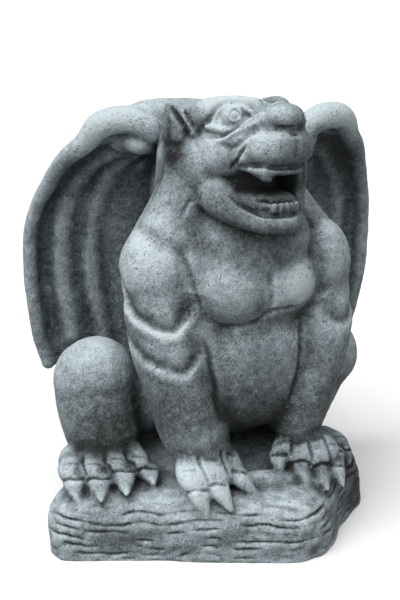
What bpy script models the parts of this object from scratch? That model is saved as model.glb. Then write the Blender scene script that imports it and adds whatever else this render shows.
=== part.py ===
# Stone gargoyle crouching on a rough rock slab: one carved piece, one closed solid.
# Metres, +Z up. The chest faces -Y and the head is turned to the figure's left (+X).
# Sizes inside the lists below are millimetres, and side is -1 on the figure's right.
import math

import bmesh
import bpy
import numpy as np
from mathutils import Euler, Matrix, Vector

MM = 0.001
MIDDLE = (2.4, 5.9)             # moves the middle of the footprint box to the origin
TORSO_VOXEL = 3.5
WING_VOXEL = 3.0
CARVING_VOXEL = 2.4
TRIANGLES = 9800

HEAD_AT = (-23.0, -22.0, 406.0)
HEAD_TURN = 27.0
HEAD_ROLL = 5.0

CAP_ANGLES = (22, 45, 67, 82)   # rings of a limb's rounded end
CAP_REACH = 0.8

TOE_FLAT = 0.8
TOE_TAPER = 0.92
TOE_SHORT = 0.6                 # the round end of a toe meets the nail fold
CLAW_FLAT = 0.74
CLAW_WIDTHS = [(-0.1, 1.0), (0.2, 0.9), (0.6, 0.5)]     # along the claw, share of the toe's width
CLAW_TIP = 1.2
RIB_FLAT = 0.8
RIB_BACK = 13.0
RIB_BACK_SIZE = 0.7
WEB_THICK = 17.0
WEB_FORWARD = 6.0
LEFT_WEB_FORWARD = 9.0
LEFT_WING_DROP = 7.0
DROP_FADE = 2.5                 # taken off the drop at each rim station outward
RIM_TURN = (0, 1, 0)

SLAB_WAVES = [(1.6, 0.55, 0.09), (1.1, 1.31, 0.21)]     # size, change around, change upward

CARVE_REACH = 3                 # widths from a cut's line to where it is left out
STEP_SHARP = 1.5


def catmull(a, b, c, d, t):
    cubic = 3 * b - a - 3 * c + d
    square = 2 * a - 5 * b + 4 * c - d
    return 0.5 * (2 * b + (c - a) * t + square * t * t + cubic * t * t * t)


def smooth_path(stations, per=6, closed=False):
    rows = [np.array(row, float) for row in stations]
    count = len(rows)
    path = []
    for i in range(count if closed else count - 1):
        if closed:
            near = [rows[(i + k) % count] for k in (-1, 0, 1, 2)]
        else:
            near = [rows[min(max(i + k, 0), count - 1)] for k in (-1, 0, 1, 2)]
        path += [catmull(*near, step / per) for step in range(per)]
    return path if closed else path + [rows[-1]]


def skin(mesh, rings):
    for lower, upper in zip(rings, rings[1:]):
        for i, vert in enumerate(lower):
            j = (i + 1) % len(lower)
            mesh.faces.new((vert, lower[j], upper[j], upper[i]))
    mesh.faces.new(list(reversed(rings[0])))
    mesh.faces.new(rings[-1])


def placed(place, point):
    return (place @ Vector(point)) * MM if place else Vector(point) * MM


# A rounded mass; a box value above 2 makes it squarer.
def mass(mesh, centre, sizes, turn=(0, 0, 0), box=2.0, place=None):
    spin = Euler([math.radians(a) for a in turn]).to_matrix()
    made = bmesh.ops.create_icosphere(mesh, subdivisions=4, radius=1.0)["verts"]
    for vert in made:
        direction = vert.co.normalized()
        reach = sum(abs(c) ** box for c in direction) ** (-1.0 / box)
        shaped = Vector(c * reach * size for c, size in zip(direction, sizes))
        vert.co = placed(place, spin @ shaped + Vector(centre))


# A round limb through stations (x, y, z, radius); flat squashes it along the side direction.
def limb(mesh, stations, flat=1.0, side=(0, 0, 1), sides=20, per=5, place=None):
    path = smooth_path(stations, per)
    points = [Vector(row[:3]) for row in path]
    radii = [max(row[3], 0.4) for row in path]
    start = (points[0] - points[1]).normalized()
    end = (points[-1] - points[-2]).normalized()
    caps = [math.radians(a) for a in CAP_ANGLES]
    before = [(points[0] + start * radii[0] * math.sin(a) * CAP_REACH, radii[0] * math.cos(a)) for a in caps]
    after = [(points[-1] + end * radii[-1] * math.sin(a) * CAP_REACH, radii[-1] * math.cos(a)) for a in caps]
    rings = list(reversed(before)) + list(zip(points, radii)) + after
    centres = [ring[0] for ring in rings]
    loops = []
    for i, (centre, radius) in enumerate(rings):
        along = centres[min(i + 1, len(rings) - 1)] - centres[max(i - 1, 0)]
        across = along.cross(Vector(side)).normalized()
        up = across.cross(along).normalized()
        loop = []
        for k in range(sides):
            a = 2 * math.pi * k / sides
            offset = across * math.cos(a) * radius + up * math.sin(a) * radius * flat
            loop.append(mesh.verts.new(placed(place, centre + offset)))
        loops.append(loop)
    skin(mesh, loops)


# A sheet between rows of points, given its thickness by moving its back away from its front.
def shell(mesh, rows, thick, per=4, place=None):
    lines = [smooth_path(row, per) for row in rows]
    grid = [smooth_path(column, per) for column in zip(*lines)]
    front = [[Vector(p) for p in column] for column in grid]
    columns, count = len(front), len(front[0])
    back = []
    for i in range(columns):
        line = []
        for j in range(count):
            du = front[min(i + 1, columns - 1)][j] - front[max(i - 1, 0)][j]
            dv = front[i][min(j + 1, count - 1)] - front[i][max(j - 1, 0)]
            normal = du.cross(dv).normalized()
            line.append(front[i][j] + normal * math.copysign(thick, normal.y))
        back.append(line)
    near = [[mesh.verts.new(placed(place, p)) for p in line] for line in front]
    far = [[mesh.verts.new(placed(place, p)) for p in line] for line in back]
    for i in range(columns - 1):
        for j in range(count - 1):
            mesh.faces.new((near[i][j], near[i + 1][j], near[i + 1][j + 1], near[i][j + 1]))
            mesh.faces.new((far[i][j], far[i][j + 1], far[i + 1][j + 1], far[i + 1][j]))
    edge = [(i, 0) for i in range(columns)]
    edge += [(columns - 1, j) for j in range(1, count)]
    edge += [(i, count - 1) for i in range(columns - 2, -1, -1)]
    edge += [(0, j) for j in range(count - 2, 0, -1)]
    for (i, j), (k, m) in zip(edge, edge[1:] + edge[:1]):
        mesh.faces.new((near[i][j], near[k][m], far[k][m], far[i][j]))


def flip(stations, side):
    return [(row[0] * side, *row[1:]) for row in stations]


# Joins the overlapping masses into one skin, then softens it.
def merge(mesh, name, voxel, softening):
    bmesh.ops.recalc_face_normals(mesh, faces=mesh.faces)
    data = bpy.data.meshes.new(name)
    mesh.to_mesh(data)
    mesh.free()
    body = bpy.data.objects.new(name, data)
    bpy.context.collection.objects.link(body)
    remesh = body.modifiers.new("Join", "REMESH")
    remesh.mode = "VOXEL"
    remesh.voxel_size = voxel * MM
    remesh.use_smooth_shade = True
    if softening:
        smooth = body.modifiers.new("Soften", "SMOOTH")
        smooth.factor = 0.5
        smooth.iterations = softening
    return settle(body)


def settle(body):
    graph = bpy.context.evaluated_depsgraph_get()
    data = bpy.data.meshes.new_from_object(body.evaluated_get(graph))
    old = body.data
    body.modifiers.clear()
    body.data = data
    bpy.data.meshes.remove(old)
    return body


def take_back(mesh, body):
    mesh.from_mesh(body.data)
    bpy.data.objects.remove(body)


# ---- slab ----
SLAB_EDGE = [
    (-182, 0), (-193, -26), (-206, -58), (-203, -80), (-184, -94), (-121, -110), (-66, -127), (21, -152),
    (48, -150), (66, -138), (94, -106), (118, -78), (138, -48), (142, -12), (134, 40), (112, 86), (56, 112),
    (-50, 118), (-124, 112), (-164, 66),
]
SLAB_LEVELS = [(-14, 2), (5, 0), (20, 0), (36, 1), (45, 4), (53, 10), (59, 19), (63, 34)]


def slab(mesh):
    outline = smooth_path(SLAB_EDGE, 4, closed=True)
    middle = np.mean(outline, axis=0)
    rings = []
    for height, inset in SLAB_LEVELS:
        ring = []
        for i, point in enumerate(outline):
            away = point - middle
            reach = np.linalg.norm(away)
            wave = sum(size * math.sin(i * around + height * rise) for size, around, rise in SLAB_WAVES)
            x, y = middle + away * (reach - inset + wave) / reach
            ring.append(mesh.verts.new(Vector((x, y, height)) * MM))
        rings.append(ring)
    skin(mesh, rings)
    mass(mesh, (0, 0, 54), (128, 88, 16))
    mass(mesh, (18, -92, 62), (38, 12, 11), turn=(0, 4, -8))


# ---- trunk ----
def trunk(mesh):
    mass(mesh, (2, -24, 262), (82, 72, 84))
    mass(mesh, (0, 42, 250), (92, 66, 128))
    mass(mesh, (0, 44, 346), (62, 42, 66))
    mass(mesh, (4, -54, 308), (62, 46, 48), turn=(-25, 0, 0))
    mass(mesh, (-19, -60, 270), (48, 48, 48))
    mass(mesh, (37, -59, 269), (33, 43, 37))
    mass(mesh, (-6, -58, 292), (50, 45, 46))
    mass(mesh, (16, -74, 270), (26, 29, 40))
    mass(mesh, (66, -52, 270), (18, 26, 40))
    mass(mesh, (-56, -56, 276), (24, 28, 44))
    mass(mesh, (-62, -66, 256), (17, 20, 26))
    mass(mesh, (-3, -38, 182), (75, 61, 75), box=2.5)
    mass(mesh, (0, 46, 118), (92, 62, 66))
    mass(mesh, (0, 64, 334), (80, 38, 78))
    limb(mesh, [(-54, -54, 262, 22), (-50, -61, 232, 28), (-46, -65, 200, 28), (-40, -68, 168, 26),
                (-34, -67, 146, 20)])
    limb(mesh, [(58, -52, 258, 20), (56, -56, 230, 23), (52, -60, 200, 23), (44, -63, 168, 22),
                (40, -64, 148, 16)])
    limb(mesh, [(0, 20, 296, 80), (-4, 4, 330, 70), (-8, 0, 350, 62), (-16, -4, 372, 54), (-20, -6, 390, 50)])
    limb(mesh, [(-24, -6, 388, 44), (-31, -12, 362, 43), (-44, -18, 338, 42), (-63, -26, 312, 40),
                (-84, -34, 290, 36)])
    limb(mesh, [(-50, -34, 394, 22), (-53, -38, 370, 25), (-59, -40, 346, 28), (-72, -42, 316, 32)])
    limb(mesh, [(16, 0, 376, 42), (36, -8, 346, 36), (60, -16, 314, 34), (80, -22, 292, 31)])
    limb(mesh, [(0, 66, 400, 32), (-40, 65, 404, 31), (-74, 57, 406, 28), (-102, 46, 404, 22)])
    limb(mesh, [(0, 66, 396, 32), (40, 62, 390, 28), (74, 54, 388, 21), (94, 46, 395, 13)])


# ---- legs ----
def front_legs(mesh):
    mass(mesh, (-87, -42, 276), (38, 41, 51), turn=(4, -6, 0))
    mass(mesh, (-84, -46, 256), (37, 39, 38))
    limb(mesh, [(-85, -48, 246, 38), (-82, -54, 218, 38), (-77, -60, 192, 38), (-71, -66, 168, 37),
                (-66, -70, 146, 36), (-60, -74, 124, 35), (-53, -76, 110, 34), (-47, -80, 98, 27)])
    mass(mesh, (-66, 0, 214), (42, 52, 60))
    mass(mesh, (82, -38, 274), (33, 40, 48), turn=(4, 6, 0))
    limb(mesh, [(82, -44, 250, 34), (80, -52, 220, 36), (72, -58, 182, 34), (58, -66, 146, 32),
                (54, -69, 118, 28), (56, -70, 106, 24), (59, -76, 97, 18)])
    mass(mesh, (56, 4, 210), (40, 50, 58))


def hind_legs(mesh):
    mass(mesh, (-139, 28, 144), (46, 45, 46))
    mass(mesh, (-98, 44, 118), (56, 50, 48))
    limb(mesh, [(-139, 30, 150, 44), (-139, 24, 128, 45), (-139, 12, 108, 43), (-138, -2, 88, 38)])
    mass(mesh, (115, 28, 152), (41, 43, 43))
    mass(mesh, (82, 44, 128), (52, 50, 46), turn=(0, -30, 0))
    limb(mesh, [(108, 22, 130, 33), (92, 4, 100, 25), (80, -20, 82, 18)])


# ---- paws ----
# The back of each paw: middle, sizes, turn.
PAW_BACKS = [
    ((-49, -97, 88), (40, 27, 16), (34, 0, 27)),
    ((61, -86, 88), (32, 21, 14), (34, 0, -16)),
    ((62, -84, 66), (24, 16, 9), (0, 0, -16)),
    ((40, -86, 62), (18, 16, 10), (0, 0, 0)),
    ((-142, -43, 77), (46, 24, 12), (26, 0, 0)),
    ((90, -56, 77), (24, 20, 11), (20, 0, 12)),
]

# Each toe: root, knuckle, nail fold, claw tip, half width.
FRONT_RIGHT_TOES = [
    ((-68, -84, 98), (-74, -110, 87), (-66, -122, 72), (-53, -137, 45), 12),
    ((-53, -80, 102), (-50, -101, 91), (-45, -118, 74), (-34, -134, 52), 12.5),
    ((-38, -74, 103), (-28, -92, 91), (-20, -105, 78), (-1, -121, 57), 12.5),
]
FRONT_LEFT_TOES = [
    ((42, -76, 102), (33, -82, 93), (29, -86, 83), (27, -99, 68), 11),
    ((50, -72, 96), (52, -78, 88), (53, -91, 77), (53, -117, 60), 11.5),
    ((62, -72, 94), (67, -81, 87), (70, -96, 75), (68, -122, 58), 10.5),
    ((72, -76, 92), (79, -90, 83), (81, -106, 72), (76, -125, 58), 9.5),
]
HIND_RIGHT_TOES = [
    ((-172, -20, 80), (-181, -46, 78), (-178, -60, 69), (-180, -84, 60), 12.5),
    ((-152, -24, 82), (-159, -54, 79), (-155, -67, 70), (-158, -98, 62), 13),
    ((-132, -24, 82), (-134, -52, 81), (-129, -62, 72), (-133, -101, 67), 13),
    ((-114, -22, 82), (-111, -50, 80), (-103, -59, 71), (-101, -86, 69), 12.5),
]
HIND_LEFT_TOES = [
    ((76, -46, 84), (78, -62, 82), (82, -74, 75), (86, -92, 61), 10.5),
    ((86, -46, 84), (92, -62, 82), (96, -73, 74), (100, -90, 61), 10.5),
    ((92, -40, 80), (103, -56, 77), (107, -66, 69), (111, -80, 59), 10),
]


# A broad toe runs from the paw over its knuckle to the nail fold, and carries a flat three-cornered claw.
def toe(mesh, root, knuckle, fold, tip, wide):
    knuckle, fold, tip = Vector(knuckle), Vector(fold), Vector(tip)
    end = fold - (fold - knuckle).normalized() * wide * TOE_SHORT
    limb(mesh, [(*root, wide), (*knuckle, wide), (*end, wide * TOE_TAPER)], flat=TOE_FLAT)
    claw = [(*fold.lerp(tip, along), wide * share) for along, share in CLAW_WIDTHS]
    limb(mesh, claw + [(*tip, CLAW_TIP)], flat=CLAW_FLAT, sides=16)


def paws(mesh):
    for back in PAW_BACKS:
        mass(mesh, *back)
    for toes in (FRONT_RIGHT_TOES, FRONT_LEFT_TOES, HIND_RIGHT_TOES, HIND_LEFT_TOES):
        for item in toes:
            toe(mesh, *item)
    limb(mesh, [(-160, -4, 80, 11), (-176, -22, 80, 12), (-180, -38, 76, 11)])


# ---- wings ----
RIM = [
    (76, 12, 407, 14), (98, 15, 419, 14), (118, 20, 419, 14), (132, 27, 411, 13.5), (144, 38, 394, 11),
    (158, 53, 380, 9.5), (168, 67, 364, 9), (177, 81, 344, 8.5), (185, 94, 325, 8), (191, 102, 305, 8),
    (194, 108, 287, 8), (195, 110, 262, 8), (195, 112, 232, 8), (193, 114, 208, 8), (190, 118, 186, 8.5),
    (187, 122, 166, 8.5), (183, 123, 150, 8), (178, 122, 131, 8),
]
RIBS = [
    [(82, 40, 392, 7), (97, 49, 389, 9.5), (113, 61, 383, 11), (130, 76, 370, 11.5), (142, 90, 351, 12),
     (150, 99, 334, 12), (156, 107, 307, 12), (159, 113, 275, 12), (159, 116, 243, 12), (156, 118, 208, 12),
     (150, 119, 166, 11)],
    [(84, 50, 383, 6.5), (95, 62, 376, 9), (107, 78, 360, 11), (117, 94, 334, 12), (124, 106, 305, 12),
     (127, 112, 277, 12), (127, 116, 240, 12), (121, 118, 202, 12), (113, 118, 162, 11)],
    [(80, 66, 366, 6), (86, 80, 352, 8), (92, 93, 330, 9.5), (97, 104, 304, 10.5), (101, 111, 276, 11),
     (102, 116, 239, 11), (97, 118, 198, 11)],
]
WEB = [
    [(96, 32, 402), (94, 35, 401), (88, 38, 407), (76, 42, 405), (40, 50, 402)],
    [(132, 46, 391), (122, 53, 391), (108, 56, 391), (90, 57, 387), (44, 62, 384)],
    [(160, 72, 362), (147, 86, 358), (122, 87, 354), (100, 82, 348), (44, 76, 342)],
    [(184, 103, 322), (168, 109, 314), (142, 107, 306), (112, 103, 300), (44, 84, 294)],
    [(195, 114, 272), (178, 119, 266), (150, 116, 260), (114, 114, 256), (44, 88, 250)],
    [(196, 118, 226), (178, 122, 222), (148, 119, 218), (112, 118, 214), (44, 88, 208)],
    [(188, 124, 180), (168, 123, 176), (144, 120, 172), (110, 119, 168), (44, 88, 164)],
    [(176, 124, 136), (160, 124, 126), (138, 123, 120), (106, 116, 116), (42, 88, 116)],
]


def wing(mesh, side):
    drop = LEFT_WING_DROP if side > 0 else 0.0
    forward = LEFT_WEB_FORWARD if side > 0 else WEB_FORWARD
    rim = [(x, y, z - max(0.0, drop - DROP_FADE * i), radius) for i, (x, y, z, radius) in enumerate(RIM)]
    limb(mesh, flip(rim, side), side=RIM_TURN)
    for rib in RIBS:
        limb(mesh, flip(rib, side), flat=RIB_FLAT, side=RIM_TURN)
        behind = [(x, y + RIB_BACK, z, radius * RIB_BACK_SIZE) for x, y, z, radius in rib]
        limb(mesh, flip(behind, side), side=RIM_TURN)
    rows = [[(x, y - forward, z) for x, y, z in row] for row in WEB]
    shell(mesh, [flip(row, side) for row in rows], WEB_THICK)


# ---- head ----
# Head lists are (sideways, -forward, up) from the middle of the skull.
def head_place():
    turn = Euler((0, math.radians(HEAD_ROLL), math.radians(HEAD_TURN)), "XYZ").to_matrix().to_4x4()
    return Matrix.Translation(Vector(HEAD_AT)) @ turn


def skull(mesh, at):
    mass(mesh, (0, 4, -6), (47, 58, 40), place=at)
    mass(mesh, (0, -30, 21), (33, 44, 20), place=at)
    mass(mesh, (0, -76, 24), (17, 26, 13), place=at)
    mass(mesh, (-2, -92, 28.5), (22.5, 18, 13), place=at)
    mass(mesh, (0, -66, 1), (43, 45, 19.5), box=2.9, place=at)
    mass(mesh, (0, -40, -34), (34, 34, 26), place=at)
    mass(mesh, (0, -58, -60), (34, 38, 16), box=2.4, place=at)
    limb(mesh, [(0, 10, -20, 50), (6, 22, -60, 48), (10, 28, -90, 54)], place=at)
    for side in (-1, 1):
        brow = [(38, -14, 18, 13), (37, -28, 26, 13.5), (33, -44, 32, 11), (27, -58, 35, 9), (18, -70, 34, 9),
                (9, -78, 31, 9)]
        limb(mesh, flip(brow, side), place=at)
        mass(mesh, (26 * side, -54, 18), (12, 20, 15), place=at)
        mass(mesh, (29 * side, -42, -8), (18, 36, 26), place=at)
        mass(mesh, (31 * side, -74, -9), (12.5, 16, 10), place=at)
        mass(mesh, (34 * side, -8, -24), (20, 30, 34), place=at)
        mass(mesh, (37 * side, 2, -14), (18, 21, 20), place=at)
        limb(mesh, flip([(34, 2, -30, 21), (34, -2, -54, 21), (36, 4, -84, 24)], side), place=at)
        limb(mesh, flip([(34, -66, 8, 8), (29, -78, 17, 9), (20, -88, 24, 10)], side), place=at)
        jaw = [(30, -38, -50, 18), (31, -48, -53, 19.5), (29, -66, -61, 15.5), (26, -82, -67, 11.5),
               (20, -94, -69.5, 10), (8, -102, -70, 9.5), (0, -103, -70, 9.5)]
        limb(mesh, flip(jaw, side), place=at)


EAR = [
    [(50, 10, -2, 8), (54, 9, 14, 7), (57, 8, 27, 3.5)],
    [(48, -2, 0, 9), (52, -2, 14, 7), (56, 4, 27, 3.5)],
    [(44, -18, 5, 4), (48, -15, 15, 5), (53, -5, 27, 4), (57, 6, 31, 2.5)],
]
LEDGE = [(34, -68, -20, 2), (31, -84, -20.5, 3.4), (22, -94, -21, 4), (0, -99, -21, 4)]
UPPER_LID = [(42, -41, 20, 2.6), (41, -48, 30, 3), (37, -57, 35, 3), (30, -67, 35, 3), (24, -75, 29, 2.6)]
LOWER_LID = [(44, -34, 14, 3.4), (43, -46, 13, 4), (39, -58, 12, 3.6), (33, -68, 15, 3.2), (25, -76, 22, 3)]
FANG = [(-23, -92, -20, 8), (-22, -95, -25, 7), (-21, -97, -30.5, 2.5)]
FAR_CORNER = [(42, -74, -15, 9), (43, -75, -30, 9), (41, -76, -44, 9), (34, -82, -58, 9)]
EYE_RADIUS = 12.5


def features(mesh, at):
    for side in (-1, 1):
        for part in EAR + [LEDGE, UPPER_LID, LOWER_LID]:
            limb(mesh, flip(part, side), place=at)
        mass(mesh, (30 * side, -57, 25.5), (EYE_RADIUS, EYE_RADIUS, EYE_RADIUS), place=at)
    limb(mesh, FANG, place=at)
    limb(mesh, FAR_CORNER, place=at)
    mass(mesh, (0, -57, -54), (35, 42, 14), box=2.8, place=at)


# ---- carving ----
# Each cut is stations (x, y, z, depth, width) and cuts a groove, or a step where it has an up direction:
# the surface on the up side sinks by the depth and fades out over the width.
DELTOID_LIP = [
    (-124, -20, 276, 1, 8), (-118, -48, 250, 4, 12), (-104, -74, 235, 7, 15), (-84, -88, 229, 8, 15),
    (-68, -90, 239, 6, 14), (-56, -86, 266, 1, 8),
]
ELBOW_LIP = [
    (-120, -40, 222, 1, 6), (-108, -68, 205, 3, 10), (-92, -86, 194, 4.5, 11), (-76, -94, 189, 4.5, 11),
    (-60, -93, 199, 3, 10), (-50, -86, 217, 1, 6),
]
FAR_DELTOID_LIP = [
    (118, -30, 252, 1, 8), (112, -56, 232, 3, 12), (98, -72, 221, 6, 13), (82, -80, 226, 4, 12),
    (70, -78, 248, 1, 8),
]
BREAST_FOLD = [
    (-54, -84, 238, 1, 5), (-28, -98, 229, 3, 6), (0, -98, 229, 3, 6), (28, -94, 233, 3, 6),
    (54, -80, 242, 1, 5),
]


def carve(body, cuts):
    count = len(body.data.vertices)
    points = np.empty(count * 3)
    body.data.vertices.foreach_get("co", points)
    points = points.reshape(-1, 3) / MM
    normals = np.empty(count * 3)
    body.data.vertex_normals.foreach_get("vector", normals)
    normals = normals.reshape(-1, 3)
    for stations, up in cuts:
        path = np.array(smooth_path(stations, 8))
        reach = CARVE_REACH * path[:, 4].max()
        low, high = path[:, :3].min(axis=0) - reach, path[:, :3].max(axis=0) + reach
        near = np.flatnonzero(((points > low) & (points < high)).all(axis=1))
        apart = points[near][:, None, :] - path[None, :, :3]
        squares = (apart ** 2).sum(axis=2)
        nearest = squares.argmin(axis=1)
        rows = np.arange(len(near))
        distance = np.sqrt(squares[rows, nearest])
        depth, width = path[nearest, 3], path[nearest, 4]
        if up is None:
            sink = depth * np.exp(-(distance / width) ** 2)
        else:
            above = apart[rows, nearest] @ np.array(up)
            sink = depth * np.exp(-(distance / width) ** 2) / (1 + np.exp(-above * STEP_SHARP))
        points[near] -= normals[near] * sink[:, None]
    body.data.vertices.foreach_set("co", (points * MM).reshape(-1))
    body.data.update()


def gargoyle():
    mesh = bmesh.new()
    trunk(mesh)
    front_legs(mesh)
    hind_legs(mesh)
    torso = merge(mesh, "torso", TORSO_VOXEL, 8)
    mesh = bmesh.new()
    for side in (-1, 1):
        wing(mesh, side)
    wings = merge(mesh, "wings", WING_VOXEL, 4)
    at = head_place()
    mesh = bmesh.new()
    skull(mesh, at)
    face = merge(mesh, "face", CARVING_VOXEL, 3)
    mesh = bmesh.new()
    paws(mesh)
    slab(mesh)
    features(mesh, at)
    bmesh.ops.recalc_face_normals(mesh, faces=mesh.faces)
    for part in (torso, wings, face):
        take_back(mesh, part)
    body = merge(mesh, "gargoyle", CARVING_VOXEL, 2)
    steps = [DELTOID_LIP, ELBOW_LIP, FAR_DELTOID_LIP]
    carve(body, [(cut, (0, 0, 1)) for cut in steps] + [(BREAST_FOLD, None)])
    thin = body.modifiers.new("Facets", "DECIMATE")
    thin.ratio = TRIANGLES / (2 * len(body.data.polygons))
    return settle(body)


# Cuts the underside off flat and puts the middle of the footprint at the origin.
def stand(body):
    mesh = bmesh.new()
    mesh.from_mesh(body.data)
    cut = bmesh.ops.bisect_plane(mesh, geom=mesh.verts[:] + mesh.edges[:] + mesh.faces[:], dist=1e-6,
                                 plane_co=(0, 0, 0), plane_no=(0, 0, -1), clear_outer=True)
    edges = [e for e in cut["geom_cut"] if isinstance(e, bmesh.types.BMEdge)]
    bmesh.ops.contextual_create(mesh, geom=edges)
    bmesh.ops.translate(mesh, vec=(MIDDLE[0] * MM, MIDDLE[1] * MM, 0), verts=mesh.verts)
    bmesh.ops.triangulate(mesh, faces=mesh.faces)
    bmesh.ops.recalc_face_normals(mesh, faces=mesh.faces)
    mesh.to_mesh(body.data)
    mesh.free()
    body.data.shade_smooth()


def stone():
    material = bpy.data.materials.new("stone")
    material.use_nodes = True
    shader = material.node_tree.nodes["Principled BSDF"]
    shader.inputs["Base Color"].default_value = (0.16, 0.19, 0.21, 1.0)
    shader.inputs["Roughness"].default_value = 0.85
    shader.inputs["Metallic"].default_value = 0.0
    return material


for thing in list(bpy.data.objects):
    bpy.data.objects.remove(thing)
statue = gargoyle()
stand(statue)
statue.data.materials.append(stone())
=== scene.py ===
import math

import bmesh
import bpy
import numpy as np
from mathutils import Euler, Matrix, Vector, noise
from mathutils.bvhtree import BVHTree


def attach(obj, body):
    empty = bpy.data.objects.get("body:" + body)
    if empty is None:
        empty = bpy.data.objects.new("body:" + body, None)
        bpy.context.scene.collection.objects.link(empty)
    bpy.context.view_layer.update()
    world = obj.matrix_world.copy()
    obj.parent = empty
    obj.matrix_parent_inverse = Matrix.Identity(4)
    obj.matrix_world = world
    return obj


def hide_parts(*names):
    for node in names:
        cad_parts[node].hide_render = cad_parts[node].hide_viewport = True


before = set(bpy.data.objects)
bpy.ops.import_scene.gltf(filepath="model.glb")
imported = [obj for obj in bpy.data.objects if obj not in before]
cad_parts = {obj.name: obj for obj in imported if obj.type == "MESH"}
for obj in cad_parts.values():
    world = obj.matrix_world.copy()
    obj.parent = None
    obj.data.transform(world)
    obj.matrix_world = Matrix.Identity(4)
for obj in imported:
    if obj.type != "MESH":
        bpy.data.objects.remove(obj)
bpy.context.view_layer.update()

# Stone gargoyle: the fine carving and the stone's colour, with painted light and shade, over the imported
# solid.
# Lists are millimetres in the figure's own frame: chest to -Y, its left to +X, side -1 is its right.
mm = 0.001

build = {
    "middle": (2.4, 5.9),  # moves the figure so that its box is centred on the origin
    "bodyVoxel": 2.8, "bodyTimes": 12,  # grid size in mm, and rounds of softening
    "wingVoxel": 2.2, "wingTimes": 10,
    "figureVoxel": 2.2, "figureTimes": 2,
    "headVoxel": 1.8, "headTimes": 7,
    "carvingVoxel": 1.6, "carvingTimes": 1,
    "frontTimes": 36, "pawTimes": 26,  # further rounds around some places
    "neckTimes": 30,
    "triangles": 190000,
    "shelterRays": 18,
    "smallMass": 16,  # masses up to this half size get fewer facets
    "domeAngles": (22, 45, 67, 82), "domeReach": 0.8,  # a limb's slightly flattened round end
    "leastRadius": 0.4,
    "softEdge": 1.6,  # how sharply the further softening fades out
    "softSteps": 10,
}


# A point of the smooth curve from b to c, with a and d before and after them.
def splinePoint(a, b, c, d, t):
    cubic = 3 * b - a - 3 * c + d
    square = 2 * a - 5 * b + 4 * c - d
    return 0.5 * (2 * b + (c - a) * t + square * t * t + cubic * t * t * t)


def smoothPath(stations, per, closed=False):
    rows = [np.array(row, float) for row in stations]
    count = len(rows)
    path = []
    for i in range(count if closed else count - 1):
        if closed:
            near = [rows[(i + k) % count] for k in (-1, 0, 1, 2)]
        else:
            near = [rows[min(max(i + k, 0), count - 1)] for k in (-1, 0, 1, 2)]
        path += [splinePoint(*near, step / per) for step in range(per)]
    return path if closed else path + [rows[-1]]


def placed(place, point):
    return (place @ Vector(point)) * mm if place else Vector(point) * mm


# A rounded mass; a box value above 2 makes it squarer.
def addMass(mesh, centre, sizes, turn=(0, 0, 0), box=2.0, place=None):
    spin = Euler([math.radians(a) for a in turn]).to_matrix()
    fine = 4 if max(sizes) > build["smallMass"] else 3
    ball = bmesh.new()
    for vert in bmesh.ops.create_icosphere(ball, subdivisions=fine, radius=1.0)["verts"]:
        direction = vert.co.normalized()
        reach = sum(abs(c) ** box for c in direction) ** (-1.0 / box)
        shaped = Vector(c * reach * size for c, size in zip(direction, sizes))
        vert.co = placed(place, spin @ shaped + Vector(centre))
    join(mesh, ball)


# Extrudes a closed outline through rings of points, so that it ends as one solid.
def addRings(mesh, rings):
    solid = bmesh.new()
    start = bmesh.ops.create_circle(solid, cap_ends=True, segments=len(rings[0]), radius=1.0)["verts"]
    face = start[0].link_faces[0]
    for vert, point in zip(face.verts, rings[0]):
        vert.co = point
    for i, ring in enumerate(rings[1:]):
        made = bmesh.ops.extrude_face_region(solid, geom=[face])["geom"]
        cap = next(item for item in made if isinstance(item, bmesh.types.BMFace))
        if i:
            bmesh.ops.delete(solid, geom=[face], context="FACES_ONLY")
        face = cap
        for vert, point in zip(face.verts, ring):
            vert.co = point
    bmesh.ops.recalc_face_normals(solid, faces=solid.faces)
    join(mesh, solid)


# A round limb through stations (x, y, z, radius); flat squashes it along the side direction.
def addLimb(mesh, stations, flat=1.0, side=(0, 0, 1), sides=20, per=5, place=None):
    path = smoothPath(stations, per)
    points = [Vector(row[:3]) for row in path]
    radii = [max(row[3], build["leastRadius"]) for row in path]
    start = (points[0] - points[1]).normalized()
    end = (points[-1] - points[-2]).normalized()
    angles = [math.radians(a) for a in build["domeAngles"]]
    dome = [(math.sin(a) * build["domeReach"], math.cos(a)) for a in angles]
    before = [(points[0] + start * radii[0] * far, radii[0] * small) for far, small in dome]
    after = [(points[-1] + end * radii[-1] * far, radii[-1] * small) for far, small in dome]
    steps = list(reversed(before)) + list(zip(points, radii)) + after
    rings = []
    for i, (centre, radius) in enumerate(steps):
        along = steps[min(i + 1, len(steps) - 1)][0] - steps[max(i - 1, 0)][0]
        across = along.cross(Vector(side)).normalized()
        up = across.cross(along).normalized()
        turns = [2 * math.pi * k / sides for k in range(sides)]
        rings.append([placed(place, centre + (across * math.cos(a) + up * math.sin(a) * flat) * radius)
                      for a in turns])
    addRings(mesh, rings)


# A sheet between rows of points, thickened away from its front.
def addSheet(mesh, rows, thick, per=8):
    lines = [smoothPath(row, per) for row in rows]
    grid = [smoothPath(column, per) for column in zip(*lines)]
    columns, count = len(grid), len(grid[0])
    sheet = bmesh.new()
    made = bmesh.ops.create_grid(sheet, x_segments=columns - 1, y_segments=count - 1, size=0.5)["verts"]
    for vert in made:
        i = round((vert.co.x + 0.5) * (columns - 1))
        j = round((vert.co.y + 0.5) * (count - 1))
        vert.co = Vector(grid[i][j]) * mm
    sheet.normal_update()
    if sum(face.normal.y * face.calc_area() for face in sheet.faces) < 0:
        bmesh.ops.reverse_faces(sheet, faces=sheet.faces)
    bmesh.ops.solidify(sheet, geom=sheet.faces[:], thickness=-thick * mm)
    bmesh.ops.recalc_face_normals(sheet, faces=sheet.faces)
    join(mesh, sheet)


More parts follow.
